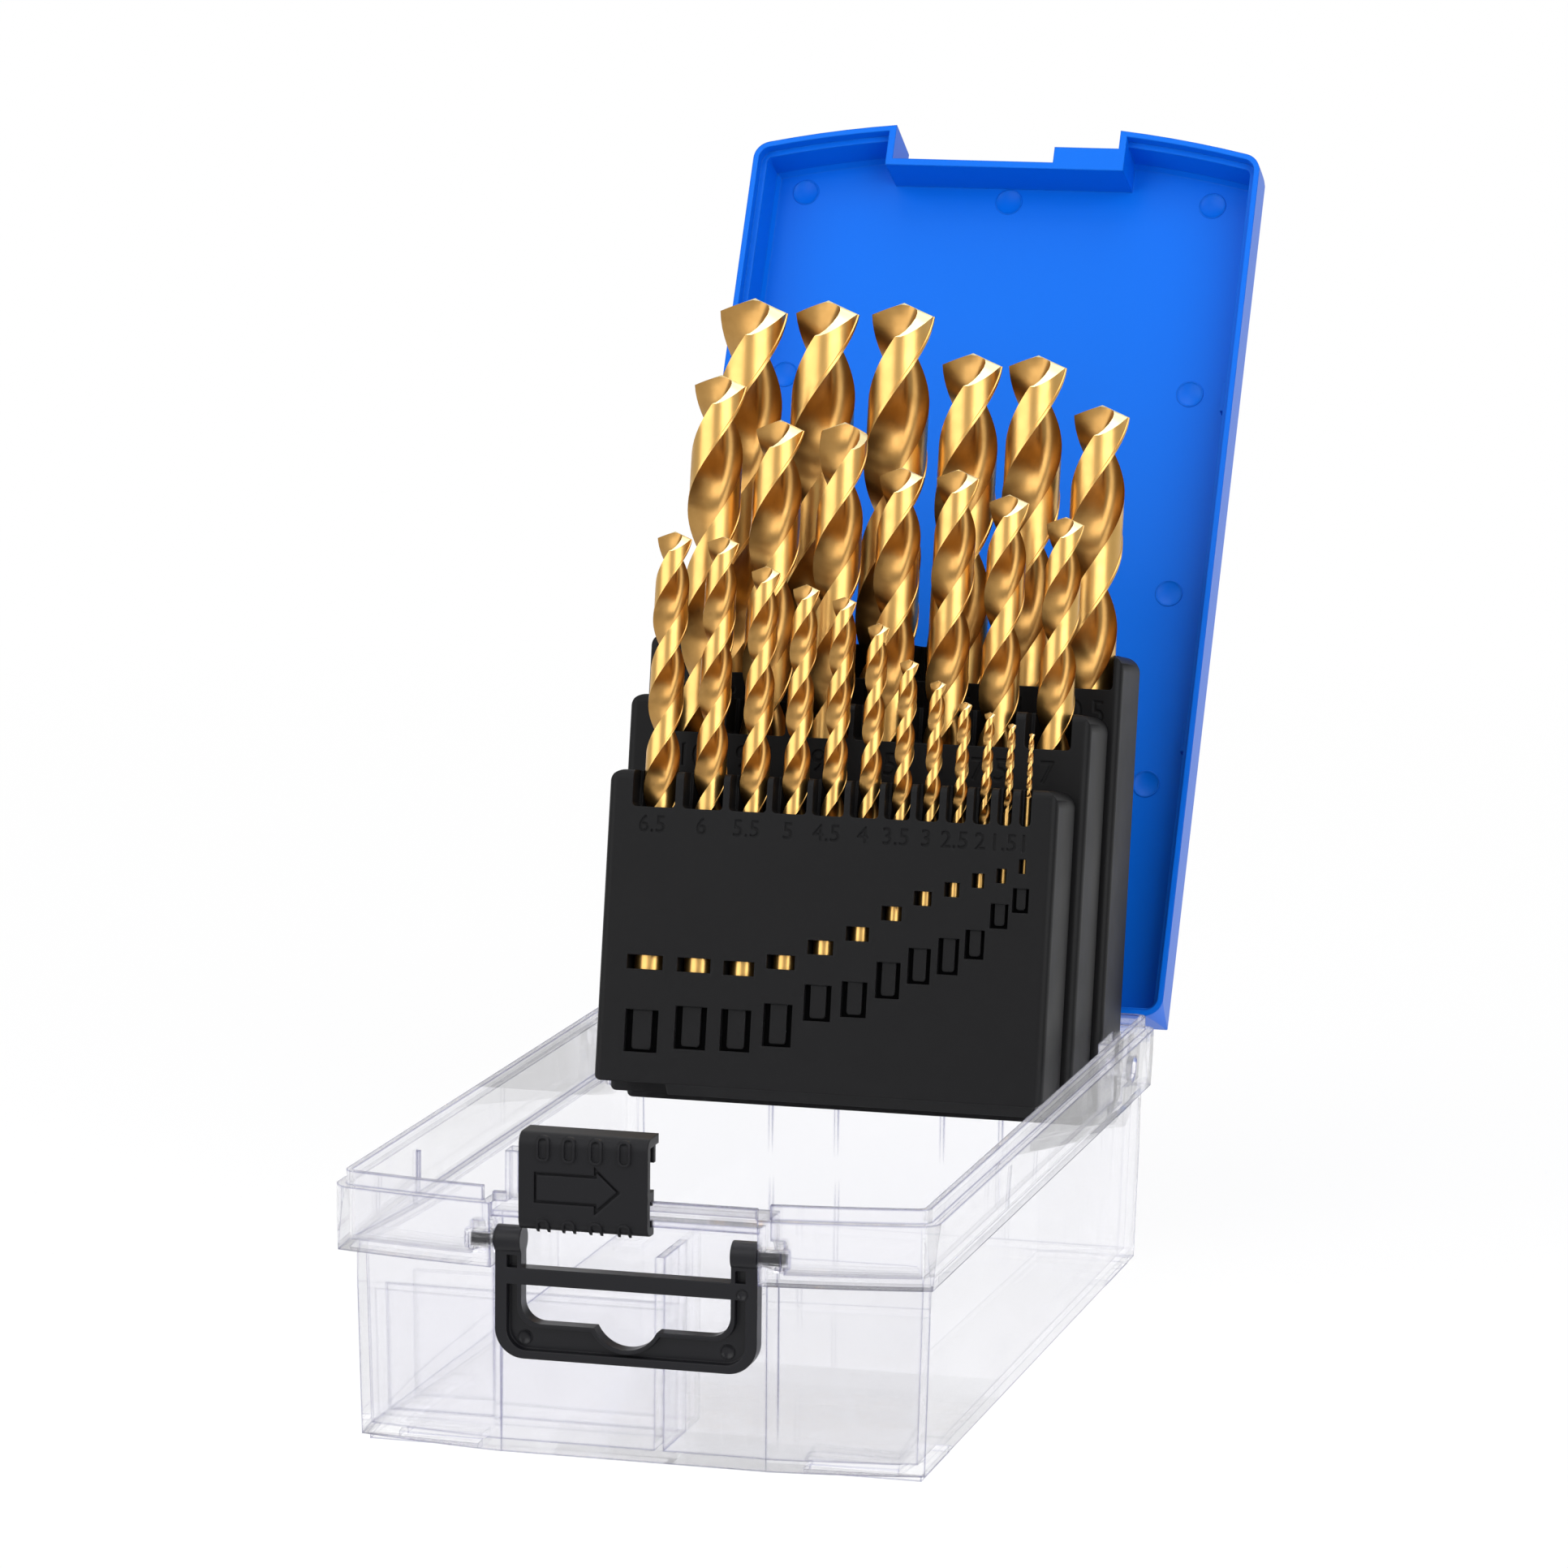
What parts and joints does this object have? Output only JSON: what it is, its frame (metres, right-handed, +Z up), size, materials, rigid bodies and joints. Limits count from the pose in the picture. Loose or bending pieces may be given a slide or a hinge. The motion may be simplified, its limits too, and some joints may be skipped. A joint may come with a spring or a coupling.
{
  "type": "drill bit case",
  "caption": "Drill bit case with a clear base, blue hinged lid, folding holders of twist drills, sliding latch and carry handle",
  "frame": {"origin": "on the surface the case stands on, in the middle of the ground that the open case covers", "axes": "+Z up, -Y towards the latch and handle at the front, +X to the right seen from the front, along the hinge"},
  "size_m": [0.104, 0.2833, 0.2083],
  "materials": {
    "clear_plastic": "clear moulded",
    "blue_plastic": "satin moulded",
    "black_plastic": "satin moulded",
    "latch_plastic": "fine-grained moulded",
    "pin_steel": "ground",
    "titanium_gold": "ground and coated"
  },
  "bodies": {
    "base": {"base_box": "clear_plastic", "hinge_pin": "pin_steel", "pivot_pins": "pin_steel"},
    "lid": {"lid": "blue_plastic"},
    "magazine": {"holder_front": "black_plastic", "holder_middle": "black_plastic", "holder_back": "black_plastic", "drill_13": "titanium_gold", "drill_12_5": "titanium_gold", "drill_12": "titanium_gold", "drill_11_5": "titanium_gold", "drill_11": "titanium_gold", "drill_10_5": "titanium_gold", "drill_10": "titanium_gold", "drill_9_5": "titanium_gold", "drill_9": "titanium_gold", "drill_8_5": "titanium_gold", "drill_8": "titanium_gold", "drill_7_5": "titanium_gold", "drill_7": "titanium_gold", "drill_6_5": "titanium_gold", "drill_6": "titanium_gold", "drill_5_5": "titanium_gold", "drill_5": "titanium_gold", "drill_4_5": "titanium_gold", "drill_4": "titanium_gold", "drill_3_5": "titanium_gold", "drill_3": "titanium_gold", "drill_2_5": "titanium_gold", "drill_2": "titanium_gold", "drill_1_5": "titanium_gold", "drill_1": "titanium_gold"},
    "latch": {"latch_slider": "latch_plastic"},
    "handle": {"carry_handle": "latch_plastic"}
  },
  "joints": [
    {"name": "magazine_pivot", "type": "hinge", "parent": "base", "child": "magazine", "pos_m": [0, 0.02244, 0.0409], "axis": [1, 0, 0], "range_deg": [0, 100]},
    {"name": "lid_hinge", "type": "hinge", "parent": "base", "child": "lid", "pos_m": [0, 0.04483, 0.0443], "axis": [1, 0, 0], "range_deg": [0, 117.3]},
    {"name": "latch_slide", "type": "slide", "parent": "base", "child": "latch", "axis": [1, 0, 0], "range_m": [0, 0.0167]},
    {"name": "handle_pivot", "type": "hinge", "parent": "base", "child": "handle", "pos_m": [0, -0.13706, 0.03865], "axis": [-1, 0, 0], "range_deg": [-5, 90]}
  ],
  "couplings": [
    {"joint": "lid_hinge", "follows": "magazine_pivot", "ratio": 1.173}
  ]
}
